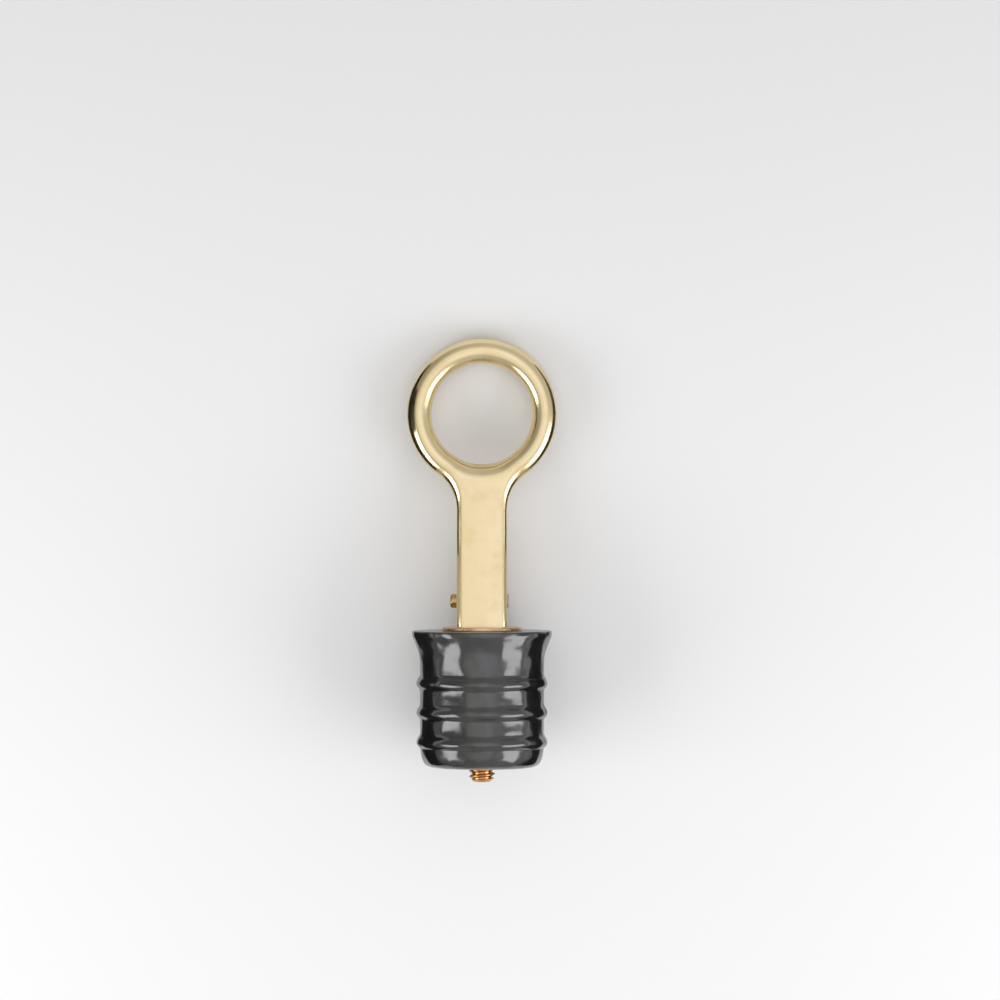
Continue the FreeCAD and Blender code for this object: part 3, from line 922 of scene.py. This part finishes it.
beside("box_left", -60, 0.42, 0.25, -0.38, -0.012, plain_emission("glow_left", (1, 1, 1), 3.5))
beside("box_right", 60, 0.42, 0.27, -0.38, -0.012, plain_emission("glow_right", (1, 1, 1), 3.4))
lens_glow = plain_emission("glow_lens", (1.0, 0.99, 1.14), 1.08)
beside("card_by_lens", 5, 0.9, 0.16, -0.1, 0.3, lens_glow)
dark = plain_emission("dark_card", (1, 0.95, 0.85), 0.015)
grey = plain_emission("grey_card", (1, 0.96, 0.85), 0.4)
for name, side_on, reach, height, low, high, lift, tone in (
    ("card_left", -90, 0.028, 0.024, -0.055, 0.08, -0.004, dark),
    ("card_right", 90, 0.03, 0.024, -0.055, 0.08, -0.006, dark),
    ("card_by_ring", -90, 0.027, 0.032, 0.044, 0.062, 0, dark),
    ("card_by_shank_left", -90, 0.0275, 0.04, 0.001, 0.018, 0.006, grey),
    ("card_by_shank_right", 90, 0.0295, 0.04, 0.001, 0.018, 0.006, grey),
):
    card = beside(name, side_on, reach, height, low, high, tone, lift)
    card.visible_diffuse = False
    card.visible_shadow = False

# %% [markdown]
# The room is bright overhead and darker towards the walls, and darker on the left than on
# the right. The lever's flat face mirrors the bright part, the ring's bead all of it.

# %% The room
world = bpy.data.worlds.new("soft_room")
world.use_nodes = True
nodes, links = world.node_tree.nodes, world.node_tree.links
heading = nodes.new("ShaderNodeTexCoord").outputs["Generated"]


def towards(direction, start, end, low, high):
    """A number that runs smoothly from low to high as a direction is approached."""
    dot = nodes.new("ShaderNodeVectorMath")
    dot.operation = "DOT_PRODUCT"
    links.new(heading, dot.inputs[0])
    dot.inputs[1].default_value = direction
    return spread(nodes, links, dot.outputs["Value"], low, high, start, end)


def times(first, second):
    """The product of two numbers."""
    product = nodes.new("ShaderNodeMath")
    product.operation = "MULTIPLY"
    links.new(first, product.inputs[0])
    links.new(second, product.inputs[1])
    return product.outputs["Value"]


overhead = towards(FACE_OUT, 0.7, 0.97, 0.58, 1.02)
left_to_right = towards(across, -0.75, -0.1, 0.6, 1.0)
glow_right = towards(across, -0.02, 0.03, 0.93, 1.0)
room = nodes["Background"]
links.new(times(times(overhead, left_to_right), glow_right), room.inputs["Strength"])
warm = towards(across, -0.02, 0.03, 0, 1)
links.new(blend_colours(nodes, links, warm, (1, 0.99, 0.96), (1, 1.0, 1.03)), room.inputs["Color"])
bpy.context.scene.world = world

# %% The camera
DISTANCE = 1.1
VIEW_WIDTH = 0.238

camera_data = bpy.data.cameras.new("photo_camera")
camera_data.sensor_width = 36
camera_data.lens = camera_data.sensor_width * DISTANCE / VIEW_WIDTH
camera = bpy.data.objects.new("photo_camera", camera_data)
bpy.context.scene.collection.objects.link(camera)
camera.matrix_world = (
    Matrix.Translation(LAY @ AIM + FACE_OUT * DISTANCE)
    @ Matrix((across, axis_up, FACE_OUT)).transposed().to_4x4()
)
bpy.context.scene.camera = camera
bpy.context.scene.view_settings.view_transform = "Standard"
